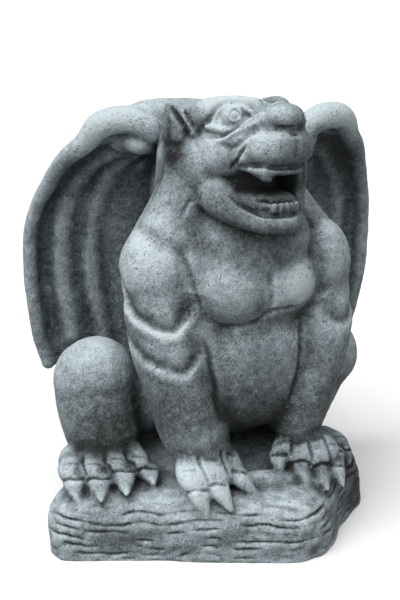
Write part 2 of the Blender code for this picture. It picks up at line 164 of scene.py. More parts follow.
def join(mesh, other):
    data = bpy.data.meshes.new("part")
    other.to_mesh(data)
    other.free()
    mesh.from_mesh(data)
    bpy.data.meshes.remove(data)


# Adds parts in order: a mass is (centre, half sizes, turn, box), a limb is a list of its stations.
def addParts(mesh, parts, place=None):
    for part in parts:
        if isinstance(part, list):
            addLimb(mesh, part, place=place)
        else:
            addMass(mesh, *part, place=place)


def flip(part, side):
    if isinstance(part, list):
        return [(row[0] * side, *row[1:]) for row in part]
    centre, *rest = part
    return ((centre[0] * side, *centre[1:]), *rest)


def readRows(items, name):
    values = np.empty(len(items) * 3)
    items.foreach_get(name, values)
    return values.reshape(-1, 3)


def writePoints(data, points):
    data.vertices.foreach_set("co", points.reshape(-1))
    data.update()


# Joins the overlapping shapes into one skin, then softens it.
def merge(mesh, name, voxel, softening):
    data = bpy.data.meshes.new(name)
    mesh.to_mesh(data)
    mesh.free()
    body = bpy.data.objects.new(name, data)
    bpy.context.scene.collection.objects.link(body)
    remesh = body.modifiers.new("Join", "REMESH")
    remesh.mode = "VOXEL"
    remesh.voxel_size = voxel * mm
    smooth = body.modifiers.new("Soften", "SMOOTH")
    smooth.factor = 0.5
    smooth.iterations = softening
    return settle(body)


def settle(body):
    graph = bpy.context.evaluated_depsgraph_get()
    data = bpy.data.meshes.new_from_object(body.evaluated_get(graph))
    old = body.data
    body.modifiers.clear()
    body.data = data
    bpy.data.meshes.remove(old)
    return body


# Softens the skin further around some places (x, y, z, radius).
def soften(body, places, times):
    points = readRows(body.data.vertices, "co") / mm
    share = np.zeros(len(points))
    for x, y, z, radius in places:
        away = np.linalg.norm(points - (x, y, z), axis=1) / radius
        share = np.maximum(share, np.clip(build["softEdge"] - build["softEdge"] * away, 0, 1))
    group = body.vertex_groups.new(name="soft")
    steps = build["softSteps"]
    for step in range(1, steps + 1):
        some = np.flatnonzero(np.round(share * steps) == step)
        group.add(some.tolist(), step / steps, "REPLACE")
    smooth = body.modifiers.new("Soften", "SMOOTH")
    smooth.factor = 0.5
    smooth.iterations = times
    smooth.vertex_group = "soft"
    settle(body)
    body.vertex_groups.clear()


def takeBack(mesh, body):
    mesh.from_mesh(body.data)
    bpy.data.objects.remove(body)


# The torso and the legs, in the order in which they are joined.
bodyParts = {
    "chest": [
        ((2, -24, 262), (82, 72, 84))],
    "back": [
        ((0, 42, 250), (92, 66, 128)),
        ((0, 44, 346), (62, 42, 66))],
    "throat": [
        ((4, -54, 308), (62, 46, 48), (-25, 0, 0))],
    "breasts": [
        ((-19, -60, 270), (48, 48, 48)),
        ((37, -59, 269), (33, 43, 37)),
        ((-6, -58, 292), (50, 45, 46)),
        ((16, -74, 270), (26, 29, 40)),
        ((66, -52, 270), (18, 26, 40)),
        ((-56, -56, 276), (24, 28, 44)),
        ((-62, -66, 256), (17, 20, 26))],
    "belly": [
        ((-3, -38, 182), (75, 61, 75), (0, 0, 0), 2.5)],
    "haunches": [
        ((0, 46, 118), (92, 62, 66))],
    "flanks": [
        [(-54, -54, 262, 22), (-50, -61, 232, 28), (-46, -65, 200, 28), (-40, -68, 168, 26),
         (-34, -67, 146, 20)],
        [(58, -52, 258, 20), (56, -56, 230, 23), (52, -60, 200, 23), (44, -63, 168, 22), (40, -64, 148, 16)]],
    "shoulder blades": [
        ((0, 66, 334), (70, 36, 78)),
        ((4, 76, 370), (50, 28, 42)),
        ((-86, 32, 397), (20, 28, 15)),
        ((82, 30, 395), (20, 28, 15))],
    "neck": [
        [(0, 20, 296, 80), (-4, 4, 330, 70), (-8, 0, 350, 62), (-16, -4, 372, 54), (-20, -6, 390, 50)],
        [(-24, -6, 388, 44), (-31, -12, 362, 43), (-44, -18, 338, 42), (-63, -26, 312, 40),
         (-84, -34, 290, 36)],
        [(-50, -34, 394, 22), (-53, -38, 370, 25), (-59, -40, 346, 28), (-72, -42, 316, 32)],
        [(16, 0, 376, 42), (36, -8, 346, 36), (60, -16, 314, 34), (80, -22, 292, 31)]],
    "wing roots": [
        [(0, 66, 400, 32), (-40, 65, 404, 31), (-74, 57, 406, 28), (-102, 46, 404, 22)],
        [(0, 66, 396, 32), (40, 62, 390, 28), (74, 54, 388, 21), (94, 46, 395, 13)]],
    "right arm": [
        ((-87, -42, 276), (38, 41, 51), (4, -6, 0)),
        ((-84, -46, 256), (37, 39, 38)),
        [(-85, -48, 246, 38), (-82, -54, 218, 38), (-77, -60, 192, 38), (-71, -66, 168, 37),
         (-66, -70, 146, 36), (-60, -74, 124, 35), (-53, -76, 110, 34), (-47, -80, 98, 27)],
        ((-66, 0, 214), (42, 52, 60))],
    "left arm": [
        ((82, -38, 274), (33, 40, 48), (4, 6, 0)),
        [(82, -44, 250, 34), (80, -52, 220, 36), (72, -58, 182, 34), (58, -66, 146, 32),
         (54, -69, 118, 28), (56, -70, 106, 24), (59, -76, 97, 18)],
        ((56, 4, 210), (40, 50, 58))],
    "right thigh": [
        ((-139, 28, 144), (46, 45, 46)),
        ((-98, 44, 118), (56, 50, 48)),
        [(-139, 30, 150, 44), (-139, 24, 128, 45), (-139, 12, 108, 43), (-138, -2, 88, 38)]],
    "left thigh": [
        ((115, 28, 152), (41, 43, 43)),
        ((82, 44, 128), (52, 50, 46), (0, -30, 0)),
        [(108, 22, 130, 33), (92, 4, 100, 25), (80, -20, 82, 18)]],
}


toeShape = {
    "short": 0.6,  # the toe stops this share of its half width before the nail fold
    "narrow": 0.92,  # and is this much narrower there
    "flat": 0.8,
    "clawBack": 0.1,  # the claw starts this share of its length inside the fold
    "claw": [(0.0, 1.0), (0.3, 0.9), (0.7, 0.5)],  # share of the length, share of the half width
    "clawTip": 1.2,
    "clawFlat": 0.74,
    "clawSides": 16,
}


# A broad toe runs from the paw over its knuckle to the nail fold, and carries a flat three-cornered claw.
def addToe(mesh, root, knuckle, fold, tip, wide):
    end = Vector(fold) - (Vector(fold) - Vector(knuckle)).normalized() * wide * toeShape["short"]
    addLimb(mesh, [(*root, wide), (*knuckle, wide), (*end, wide * toeShape["narrow"])], flat=toeShape["flat"])
    down = Vector(tip) - Vector(fold)
    start = Vector(fold) - down * toeShape["clawBack"]
    claw = [(*(start + down * share), wide * width) for share, width in toeShape["claw"]]
    claw.append((*tip, toeShape["clawTip"]))
    addLimb(mesh, claw, flat=toeShape["clawFlat"], sides=toeShape["clawSides"])


paws = {
    "heel": [(-160, -4, 80, 11), (-176, -22, 80, 12), (-180, -38, 76, 11)],
    "backs": [
        ((-49, -97, 88), (40, 27, 16), (34, 0, 27)),
        ((61, -86, 88), (32, 21, 14), (34, 0, -16)),
        ((62, -84, 66), (24, 16, 9), (0, 0, -16)),
        ((40, -86, 62), (18, 16, 10), (0, 0, 0)),
        ((64, -104, 60), (16, 11, 8), (0, 0, -10)),
        ((-142, -43, 77), (46, 24, 12), (26, 0, 0)),
        ((90, -56, 77), (24, 20, 11), (20, 0, 12))],
    "toes": {  # root, knuckle, nail fold, claw tip, half width
        "front right": [
            ((-68, -84, 98), (-74, -110, 87), (-66, -122, 72), (-58, -136, 48), 12),
            ((-53, -80, 102), (-50, -101, 91), (-45, -118, 74), (-34, -134, 52), 12.5),
            ((-38, -74, 103), (-28, -92, 91), (-20, -105, 78), (-1, -121, 57), 12.5)],
        "front left": [
            ((42, -76, 102), (33, -82, 93), (29, -86, 83), (27, -99, 68), 11),
            ((50, -72, 96), (51, -78, 88), (51, -91, 77), (51, -121, 57), 11),
            ((62, -72, 94), (67, -81, 87), (70, -96, 75), (70, -125, 56), 10.5),
            ((74, -74, 92), (82, -87, 83), (86, -102, 72), (88, -122, 56), 9.5)],
        "hind right": [
            ((-172, -20, 80), (-181, -46, 78), (-178, -60, 69), (-180, -84, 60), 12.5),
            ((-152, -24, 82), (-159, -54, 79), (-155, -67, 70), (-158, -98, 62), 13),
            ((-132, -24, 82), (-134, -52, 81), (-129, -62, 72), (-133, -101, 67), 13),
            ((-114, -22, 82), (-111, -50, 80), (-103, -59, 71), (-101, -86, 69), 12.5)],
        "hind left": [
            ((76, -46, 84), (78, -62, 82), (82, -74, 75), (86, -92, 61), 10.5),
            ((86, -46, 84), (92, -62, 82), (96, -73, 74), (100, -90, 61), 10.5),
            ((95, -40, 84), (106, -55, 80), (109, -66, 71), (112, -80, 60), 10)]},
}


def addPaws(mesh):
    addLimb(mesh, paws["heel"])
    addParts(mesh, paws["backs"])
    for toes in paws["toes"].values():
        for toe in toes:
            addToe(mesh, *toe)


slab = {
    "edge": [(-182, 0), (-193, -26), (-206, -58), (-203, -80), (-184, -94), (-121, -110), (-66, -127),
             (21, -152), (48, -150), (66, -138), (92, -103), (115, -76), (137, -48), (142, -12), (134, 40),
             (112, 86), (56, 112), (-50, 118), (-124, 112), (-164, 66)],
    "levels": [(-14, 2), (5, 0), (20, 0), (36, 1), (45, 4), (53, 10), (59, 19), (63, 34)],  # height, inset
    "waves": [(1.6, 0.55, 0.09), (1.1, 1.31, 0.21)],  # size, turn along the edge, turn by height
    "top": [((0, 0, 54), (128, 88, 16)), ((18, -92, 62), (38, 12, 11), (0, 4, -8))],
}


def addSlab(mesh):
    outline = smoothPath(slab["edge"], 4, closed=True)
    middle = np.mean(outline, axis=0)
    rings = []
    for height, inset in slab["levels"]:
        ring = []
        for i, point in enumerate(outline):
            away = point - middle
            reach = np.linalg.norm(away)
            wave = sum(size * math.sin(i * turn + height * rise) for size, turn, rise in slab["waves"])
            x, y = middle + away * (reach - inset + wave) / reach
            ring.append(Vector((x, y, height)) * mm)
        rings.append(ring)
    addRings(mesh, rings)
    addParts(mesh, slab["top"])


wing = {
    "rim": [
        (76, 12, 407, 14), (98, 15, 419, 14), (118, 20, 419, 14), (132, 27, 411, 13.5), (144, 38, 394, 11),
        (158, 53, 380, 9.5), (168, 67, 364, 9), (177, 81, 344, 8.5), (185, 94, 325, 8), (191, 102, 305, 8),
        (194, 108, 287, 8), (195, 110, 262, 8), (195, 112, 232, 8), (193, 114, 208, 8), (190, 118, 186, 8.5),
        (187, 122, 166, 8.5), (183, 123, 150, 8), (178, 122, 131, 8)],
    "ribs": [
        [(82, 40, 392, 7), (97, 49, 389, 9.5), (113, 61, 383, 11), (130, 76, 370, 11.5), (142, 90, 351, 12),
         (150, 99, 334, 12), (156, 107, 307, 12), (159, 113, 275, 12), (159, 116, 243, 12),
         (156, 118, 208, 12), (150, 119, 166, 11)],
        [(84, 50, 383, 6.5), (95, 62, 376, 9), (107, 78, 360, 11), (117, 94, 334, 12), (124, 106, 305, 12),
         (127, 112, 277, 12), (127, 116, 240, 12), (121, 118, 202, 12), (113, 118, 162, 11)],
        [(80, 66, 366, 6), (86, 80, 352, 8), (92, 93, 330, 9.5), (97, 104, 304, 10.5), (101, 111, 276, 11),
         (102, 116, 239, 11), (97, 118, 198, 11)]],
    "web": [
        [(96, 32, 402), (94, 35, 401), (88, 38, 407), (76, 42, 405), (40, 50, 402)],
        [(132, 46, 391), (122, 53, 391), (108, 56, 391), (90, 57, 387), (44, 62, 384)],
        [(160, 72, 362), (147, 86, 358), (122, 87, 354), (100, 82, 348), (44, 76, 342)],
        [(184, 103, 322), (168, 109, 314), (142, 107, 306), (112, 103, 300), (44, 84, 294)],
        [(195, 114, 272), (178, 119, 266), (150, 116, 260), (114, 114, 256), (44, 88, 250)],
        [(196, 118, 226), (178, 122, 222), (148, 119, 218), (112, 118, 214), (44, 88, 208)],
        [(188, 124, 180), (168, 123, 176), (144, 120, 172), (110, 119, 168), (44, 88, 164)],
        [(176, 124, 136), (160, 124, 126), (138, 123, 120), (106, 116, 116), (42, 88, 116)]],
    "thick": 17,
    "forward": 6,
    "plain": 3,  # how much further the left wing's web comes forward, which leaves it plainer
    "drop": 7,  # how much lower the left wing's knuckle is
    "dropFade": 2.5,  # and how much less at each next station
    "ribFlat": 0.8,
    "behind": 11,  # how far back the ribs show again behind the web
    "behindWide": (0.75, 0.3, 0.2),  # their greatest share of the width, their start's, and the taper
}


def addWing(mesh, side):
    left = max(side, 0)
    forward = wing["forward"] + wing["plain"] * left
    rim = [(x, y, z - left * max(0, wing["drop"] - wing["dropFade"] * i), radius)
           for i, (x, y, z, radius) in enumerate(wing["rim"])]
    addLimb(mesh, flip(rim, side), side=(0, 1, 0))
    most, first, taper = wing["behindWide"]
    for rib in wing["ribs"]:
        addLimb(mesh, flip(rib, side), flat=wing["ribFlat"], side=(0, 1, 0))
        behind = []
        for i, (x, y, z, radius) in enumerate(rib):
            width = radius * min(most, first + taper * i, taper * (len(rib) - i))
            behind.append((x, y + wing["behind"] + min(i, 2), z, width))
        addLimb(mesh, flip(behind, side), side=(0, 1, 0))
    rows = [[(x, y - forward, z) for x, y, z in row] for row in wing["web"]]
    addSheet(mesh, [flip(row, side) for row in rows], wing["thick"])


# Head lists are (sideways, -forward, up) from the middle of the skull.
skull = {"at": (-23, -22, 406), "turn": 27, "roll": 5}


def headPlace():
    turn = Euler((0, math.radians(skull["roll"]), math.radians(skull["turn"])), "XYZ").to_matrix().to_4x4()
    return Matrix.Translation(Vector(skull["at"])) @ turn


headParts = {
    "middle": [
        ((0, 4, -6), (47, 58, 40)),  # skull
        ((0, -30, 21), (33, 44, 20)),
        ((0, -76, 24), (17, 26, 13)),  # nose
        ((-2, -92, 28.5), (22.5, 18, 13)),
        ((0, -66, 1), (43, 45, 19.5), (0, 0, 0), 2.9),  # muzzle
        ((0, -40, -34), (34, 34, 26)),
        ((0, -58, -60), (34, 38, 16), (0, 0, 0), 2.4),  # jaw
        ((38, -58, -33), (9, 27, 28)),  # left cheek's inside
        [(0, 10, -20, 50), (6, 22, -60, 48), (10, 28, -90, 54)]],  # neck
    "sides": [
        [(38, -14, 18, 13), (37, -28, 26, 13.5), (33, -44, 32, 11), (27, -58, 35, 9), (18, -70, 34, 9),
         (9, -78, 31, 9)],  # brow
        ((26, -54, 18), (12, 20, 15)),
        ((29, -42, -8), (18, 36, 26)),  # cheek
        ((31, -74, -9), (12.5, 16, 10)),
        ((34, -8, -24), (20, 30, 34)),
        ((37, 2, -14), (18, 21, 20)),
        [(34, 2, -30, 21), (34, -2, -54, 21), (36, 4, -84, 24)],
        [(34, -66, 8, 8), (29, -78, 17, 9), (20, -88, 24, 10)],
        [(30, -38, -50, 18), (31, -48, -53, 19.5), (29, -66, -61, 15.5), (26, -82, -67, 11.5),
         (20, -94, -69.5, 10), (8, -102, -70, 9.5), (0, -103, -70, 9.5)]],  # lower lip
}


def addHead(mesh, at):
    addParts(mesh, headParts["middle"], at)
    for side in (-1, 1):
        addParts(mesh, [flip(part, side) for part in headParts["sides"]], at)


features = {
    "sides": [
        [(50, 10, -2, 8), (54, 9, 14, 7), (57, 8, 27, 3.5)],  # ear
        [(48, -2, 0, 9), (52, -2, 14, 7), (56, 4, 27, 3.5)],
        [(44, -18, 5, 4), (48, -15, 15, 5), (53, -5, 27, 4), (57, 6, 31, 2.5)],
        [(34, -68, -20, 2), (31, -84, -20.5, 3.4), (22, -94, -21, 4), (0, -99, -21, 4)],  # upper gum
        ((30, -57, 25.5), (12.5, 12.5, 12.5)),  # eyeball
        ((37, -45, 17), (6, 10, 8))],
    "lids": [
        [(42, -41, 20, 2.6), (41, -48, 30, 3), (37, -57, 35, 3), (30, -67, 35, 3), (24, -75, 29, 2.6)],
        [(44, -34, 14, 3.4), (43, -46, 13, 4), (39, -58, 12, 3.6), (33, -68, 15, 3.2), (25, -76, 22, 3)]],
    "fangRoot": [(-33, -85, -20.5, 4), (-24, -92, -22, 7.5), (-11, -97, -21, 4.5)],
    "mouth": [
        [(-23, -92, -21, 8), (-22, -94, -25, 6.5), (-20, -97, -28, 3.5)],  # fang
        ((0, -57, -54), (35, 42, 14), (0, 0, 0), 2.8),  # floor of the mouth
        [(42, -74, -15, 9), (43, -75, -30, 9), (41, -76, -44, 9), (34, -82, -58, 9)]],  # left corner
    "flat": 0.8,
    "lidSides": 12,
}
teeth = {
    "count": 5, "first": -14, "apart": 7,
    "front": -101, "curve": 0.12, "up": -55,
    "sizes": (3.8, 5, 6.5), "box": 2.6,
}


def addFeatures(mesh, at):
    for side in (-1, 1):
        addParts(mesh, [flip(part, side) for part in features["sides"]], at)
        for lid in features["lids"]:
            addLimb(mesh, flip(lid, side), sides=features["lidSides"], place=at)
    addLimb(mesh, features["fangRoot"], flat=features["flat"], place=at)
    addParts(mesh, features["mouth"], at)
    for tooth in range(teeth["count"]):
        across = teeth["first"] + tooth * teeth["apart"]
        centre = (across, teeth["front"] + abs(across) * teeth["curve"], teeth["up"])
        addMass(mesh, centre, teeth["sizes"], box=teeth["box"], place=at)


carving = {
    "per": 10,  # points of the path between two of its stations
    "spacing": 0.7,  # mm between samples along it
    "fade": 0.7,  # how full the fading ends are
    "reach": 3,  # how many widths a cut can reach
    "facing": (2, 0.4),  # leaves alone the skin that faces away from the path
    "ledge": 1.6,  # how sharply a lip drops
}


# Each cut follows a path of points on the skin. deep is how far it sinks (negative raises) and wide how far
# it spreads. A lip direction sinks only that side, which leaves a ledge that slopes over that many mm.
# ends is the share of the path that fades at each end.
def cut(path, deep, wide, lip=None, slope=1.0, ends=0.25, place=None):
    points = [placed(place, point) / mm for point in path]
    return {"path": points, "deep": deep, "wide": wide, "lip": lip, "slope": slope, "ends": ends}


# The cut's path laid on the skin: its points, the outward directions there, and how much it fades.
def layPath(item, tree):
    stations = np.array(smoothPath(item["path"], carving["per"]))
    steps = np.linalg.norm(np.diff(stations, axis=0), axis=1)
    along = np.concatenate([[0], np.cumsum(steps)])
    samples = np.linspace(0, along[-1], max(int(along[-1] / carving["spacing"]), 2))
    path = np.stack([np.interp(samples, along, stations[:, k]) for k in range(3)], axis=1)
    share = samples / along[-1]
    fade = np.clip(np.minimum(share, 1 - share) / max(item["ends"], 0.001), 0, 1) ** carving["fade"]
    found = [tree.find_nearest(Vector(p)) for p in path]
    return np.array([f[0] for f in found]), np.array([f[1] for f in found]), fade


def carve(body, cuts):
    data = body.data
    points = readRows(data.vertices, "co") / mm
    tree = BVHTree.FromPolygons([Vector(p) for p in points], [tuple(f.vertices) for f in data.polygons])
    for item in cuts:
        facing = readRows(data.vertex_normals, "vector")
        path, outward, fade = layPath(item, tree)
        reach = item["wide"] * carving["reach"]
        near = np.flatnonzero(((points > path.min(0) - reach) & (points < path.max(0) + reach)).all(axis=1))
        if not len(near):
            continue
        apart = points[near][:, None, :] - path[None, :, :]
        squares = (apart ** 2).sum(axis=2)
        nearest = squares.argmin(axis=1)
        rows = np.arange(len(near))
        distance = np.sqrt(squares[rows, nearest])
        steep, start = carving["facing"]
        same = np.clip((facing[near] * outward[nearest]).sum(axis=1) * steep + start, 0, 1)
        sink = item["deep"] * fade[nearest] * np.exp(-(distance / item["wide"]) ** 2) * same
        if item["lip"] is not None:
            above = apart[rows, nearest] @ np.array(item["lip"])
            sink /= 1 + np.exp(-above * carving["ledge"] / item["slope"])
        points[near] -= facing[near] * sink[:, None]
        writePoints(data, points * mm)


# Where neighbouring masses flow into each other: x, y, z, radius.
softPlaces = {
    "front": [
        (-20, -96, 285, 62), (34, -96, 275, 46), (-60, -84, 262, 36), (0, -92, 225, 60), (-50, -82, 205, 36),
        (52, -76, 200, 34), (0, -92, 175, 52), (0, 100, 370, 80), (-60, 80, 392, 40), (60, 80, 386, 40),
        (0, 104, 280, 80), (0, 104, 200, 70), (-116, 40, 130, 56), (100, 40, 140, 56)],
    "paws": [
        (-54, -104, 96, 36), (-66, -92, 106, 30), (-40, -92, 104, 26), (58, -94, 98, 26), (54, -90, 106, 24),
        (-140, -22, 98, 44), (-140, -44, 84, 26), (-140, -16, 112, 34), (86, -50, 84, 20), (-46, 98, 150, 56),
        (46, 98, 150, 56), (-50, 98, 230, 56), (50, 98, 230, 56), (-48, 96, 310, 56), (48, 96, 310, 56),
        (0, 96, 384, 80)],
    "neck": [
        (-54, -68, 386, 18), (-20, -96, 302, 34), (-62, -66, 348, 24), (-62, -34, 362, 36),
        (-66, -20, 338, 34), (-58, -60, 312, 30), (-60, -88, 280, 22), (-56, -86, 250, 18),
        (-60, -94, 258, 18)],
}


def bodyCuts():
    up = (0, 0, 1)
    return [
        # ledges around the upper arms
        cut([(-124, -20, 276), (-118, -48, 250), (-104, -74, 235), (-84, -88, 229), (-68, -90, 239),
             (-56, -86, 266)], 8, 15, lip=up, slope=1.8, ends=0.15),
        cut([(-120, -40, 222), (-108, -68, 205), (-92, -86, 194), (-76, -94, 189), (-60, -93, 199),
             (-50, -86, 217)], 4.5, 12, lip=up, slope=1.8),
        cut([(-117, -48, 245), (-103, -74, 230), (-84, -90, 223), (-69, -93, 233), (-59, -90, 252)], -1.8, 5),
        cut([(-106, -70, 198), (-91, -88, 187), (-76, -96, 182), (-61, -96, 192), (-53, -90, 206)],
            -1.2, 4.5),
        cut([(118, -30, 252), (112, -56, 232), (98, -72, 221), (82, -80, 226), (70, -78, 248)],
            6, 15, lip=up, slope=2.5),
        # creases of the chest and along the arms
        cut([(-70, -73, 308), (-65, -80, 290), (-61, -86, 272), (-56, -87, 255), (-50, -88, 241)], 1.8, 3.2),
        cut([(-50, -88, 241), (-35, -88, 234), (-16, -91, 232), (0, -92, 236), (10, -95, 243), (18, -96, 246),
             (35, -92, 246), (49, -89, 248), (61, -83, 253)], 1.8, 2.8),
        cut([(9, -101, 288), (11, -101, 276), (12, -101, 262), (13, -98, 250)], 1.3, 3.4),
        cut([(-53, -89, 225), (-49, -92, 208), (-46, -93, 190), (-42, -95, 169), (-40, -95, 151),
             (-36, -94, 134)], 2.2, 2.8),
        cut([(50, -79, 232), (50, -84, 214), (49, -88, 197), (46, -89, 180), (40, -90, 162), (35, -88, 144)],
            2.2, 2.8),
        cut([(0, 108, 392), (0, 110, 340), (0, 108, 280), (0, 106, 210)], 3, 9),  # spine
    ]


foldShape = {
    "across": ((1, -0.2, 0), 0.85),  # direction, and share of the half width
    "rise": ((0, -0.5, 0.8), 0.8),
    "ahead": 1.5,
    "low": 0.3,  # a fold's ends lie this much lower
    "knuckleOut": 0.8, "knuckleOver": 0.6,
    "nail": (2.2, 1.7), "knuckle": (1.1, 1.8), "between": (1.8, 1.6),  # deep, wide
    "ends": 0.1, "betweenEnds": 0.2,
    "short": (0.4, 0.6),  # where the line between two toes stops
}


# The folds at each nail and knuckle, and the lines between the toes.
def pawCuts():
    folds = []
    for toes in paws["toes"].values():
        last = None
        for toe in toes:
            root, knuckle, fold, tip = [Vector(point) for point in toe[:4]]
            wide = toe[4]
            ways = (foldShape["across"], foldShape["rise"])
            across, rise = [Vector(way) * wide * share for way, share in ways]
            ahead = (tip - fold).normalized() * foldShape["ahead"]
            low = rise * foldShape["low"]
            folds.append(cut([fold - across + low - ahead, fold + rise + ahead, fold + across + low - ahead],
                             *foldShape["nail"], ends=foldShape["ends"]))
            out, over = across * foldShape["knuckleOut"], rise * foldShape["knuckleOver"]
            folds.append(cut([knuckle - out + over, knuckle + rise, knuckle + out + over],
                             *foldShape["knuckle"]))
            if last:
                middle = [(a + b) / 2 + rise for a, b in zip(last, (root, knuckle, fold))]
                near, far = foldShape["short"]
                folds.append(cut([middle[2], middle[1], middle[1] * near + middle[0] * far],
                                 *foldShape["between"], ends=foldShape["betweenEnds"]))
            last = (root, knuckle, fold)
    return folds


eye = {"at": (-38, -65, 28), "across": (0.66, -0.75, 0), "up": (0, 0, 1), "points": 12}


def headCuts(at):
    def on(path, deep, wide, **more):
        return cut(path, deep, wide, place=at, **more)

    def ring(radius):
        turns = [2 * math.pi * k / eye["points"] for k in range(eye["points"] + 1)]
        middle, across, up = Vector(eye["at"]), Vector(eye["across"]), Vector(eye["up"])
        return [middle + (across * math.cos(a) + up * math.sin(a)) * radius for a in turns]

    return [
        # eye
        on([(-45, -28, 9), (-44, -35, 17), (-43, -43, 27), (-40, -50, 34), (-36, -59, 38), (-29, -68, 37),
            (-24, -75, 32)], 3.2, 2.2, ends=0.3),
        on(ring(6.5), -1.2, 1.3, ends=0),
        on(ring(3.6), 1.0, 1.1, ends=0),
        on([eye["at"], (-37, -66, 28)], -1.0, 1.6, ends=0),
        on([(-50, -10, 27), (-49, -16, 18), (-47, -23, 9)], 2.4, 2.5),
        on([(-45, -34, 4), (-43, -48, 4), (-40, -60, 9), (-32, -74, 18), (-25, -80, 24)],
           2.0, 1.9, ends=0.35),
        on([(-45, -46, 2), (-43, -60, 5), (-34, -76, 14), (-26, -84, 21), (-18, -90, 26)], -1.4, 2.4),
        # wrinkle over the muzzle, mouth corner, and the groove under the nose
        on([(-44, -54, 0), (-42, -64, -2), (-40, -73, 0), (-33, -84, 8), (-26, -88, 14)], 2.2, 2.8),
        on([(-38, -86, 3), (-41, -80, -5), (-43, -73, -18), (-43, -66, -30)], 3.4, 2.2),
        on([(0, -112, 14), (0, -112, 0), (0, -112, -12)], 1.6, 3.5),
        on([(-36, -80, -18), (-30, -90, -18), (-20, -99, -18), (0, -103, -18), (24, -98, -18)], 1.8, 1.4),
        # nostrils and the folds of the nose
        on([(-20, -97, 19), (-12, -105, 18), (-2, -109, 17), (8, -109, 18), (18, -102, 20)], 2.2, 2.2),
        on([(22, -100, 24), (24, -98, 22)], 3, 3),
        on([(-19, -88, 36), (-10, -92, 39), (4, -94, 40)], 2.4, 2.2),
        on([(-15, -74, 43), (-17, -80, 36)], 1.5, 1.6),
        on([(-10, -76, 43), (-11, -82, 37)], 1.5, 1.6),
        # ear, lower lip, teeth and throat
        on([(-56, 2, 28), (-54, -8, 17), (-50, -19, 4)], 2.6, 2.4),
        on([(-42, -70, -41), (-38, -76, -50), (-30, -88, -58), (-20, -100, -62), (0, -107, -63),
            (20, -100, -62)], 2.4, 2.2),
        on([(-30, -92, -46), (-15, -99, -47), (0, -101, -47), (18, -99, -47)], 3.2, 2.2),
        on([(-50, -40, -46), (-52, -29, -57), (-54, -19, -71), (-55, -14, -79)], 1.8, 2.6, ends=0.4),
    ]


# How much the hand-cut surface is uneven, and the size of that, in mm.
skin = {"swell": (0.9, 34), "ripple": (0.34, 8), "grit": (0.16, 3.4)}


def weather(body):
    data = body.data
    points, normals = readRows(data.vertices, "co"), readRows(data.vertex_normals, "vector")
    heights = np.zeros(len(points))
    for amount, size in skin.values():
        scale = 1000 / size
        heights += [noise.noise(Vector(p) * scale) * amount for p in points]
    writePoints(data, points + normals * heights[:, None] * mm)


# The slab's broken cracks: level lines round its sides that waver, and come and go.
cracks = {
    "apart": 8.4, "deep": 4.5,
    "thin": 0.55,  # nearer 1 is thinner
    "kept": (0.3, 2.8),  # how much of the lines is left, and how strongly that varies
    "keptSize": (0.045, 0.16), "keptAt": 7,
    "drift": (7, 0.02, 0.4),  # mm, fineness, and how much of it follows the height
    "waver": (2.2, 0.055),
    "below": 64, "upright": 0.93,
    "topFade": (60, 14), "footFade": (2, 8),
}


def crackDepth(x, y, z):
    drift, fineness, rise = cracks["drift"]
    waver, waverFineness = cracks["waver"]
    moved = noise.noise(Vector((x, y, z * rise)) * fineness) * drift
    moved += noise.noise(Vector((x, y, z)) * waverFineness) * waver
    line = math.cos(2 * math.pi * ((z + moved) / cracks["apart"]))
    level, height = cracks["keptSize"]
    broken = noise.noise(Vector((x * level, y * level, z * height + cracks["keptAt"])))
    base, spread = cracks["kept"]
    deep = max(0.0, line - cracks["thin"]) * max(0.0, base + spread * broken) * cracks["deep"]
    top, topFade = cracks["topFade"]
    foot, footFade = cracks["footFade"]
    return deep * (min(1.0, max(0.0, (top - z) / topFade)) * min(1.0, max(0.0, (z + foot) / footFade)))


def crackSlab(body):
    data = body.data
    points, normals = readRows(data.vertices, "co"), readRows(data.vertex_normals, "vector")
    low = np.flatnonzero((points[:, 2] < cracks["below"] * mm) & (np.abs(normals[:, 2]) < cracks["upright"]))
    for i in low:
        points[i] -= normals[i] * crackDepth(*(points[i] / mm)) * mm
    writePoints(data, points)


# Keeps more facets on the face, where the carving is finest.
facePart = {"back": 12, "low": -84, "high": 50, "side": 62, "above": 310, "share": 0.6}


def thin(body):
    at = headPlace().inverted()
    group = body.vertex_groups.new(name="fine")
    fine = []
    for vert in body.data.vertices:
        p = at @ (vert.co / mm)
        level = facePart["low"] < p.z < facePart["high"] and vert.co.z > facePart["above"] * mm
        if level and p.y < facePart["back"] and abs(p.x) < facePart["side"]:
            fine.append(vert.index)
    group.add(fine, 1.0, "REPLACE")
    facets = body.modifiers.new("Facets", "DECIMATE")
    facets.ratio = min(1.0, build["triangles"] / (2 * len(body.data.polygons)))
    facets.vertex_group = "fine"
    facets.vertex_group_factor = facePart["share"]
    facets.invert_vertex_group = True
    settle(body)
    body.vertex_groups.clear()


# Cuts the underside off flat and centres the figure.
def stand(body):
    mesh = bmesh.new()
    mesh.from_mesh(body.data)
    made = bmesh.ops.bisect_plane(mesh, geom=mesh.verts[:] + mesh.edges[:] + mesh.faces[:], dist=1e-6,
                                  plane_co=(0, 0, 0), plane_no=(0, 0, -1), clear_outer=True)
    edges = [e for e in made["geom_cut"] if isinstance(e, bmesh.types.BMEdge)]
    bmesh.ops.contextual_create(mesh, geom=edges)
    bmesh.ops.translate(mesh, vec=(build["middle"][0] * mm, build["middle"][1] * mm, 0), verts=mesh.verts)
    bmesh.ops.triangulate(mesh, faces=mesh.faces)
    scraps = [vert for vert in mesh.verts if len(vert.link_faces) < 3]  # specks that the thinning leaves
    bmesh.ops.delete(mesh, geom=scraps, context="VERTS")
    bmesh.ops.recalc_face_normals(mesh, faces=mesh.faces)
    mesh.to_mesh(body.data)
    mesh.free()
    body.data.shade_smooth()
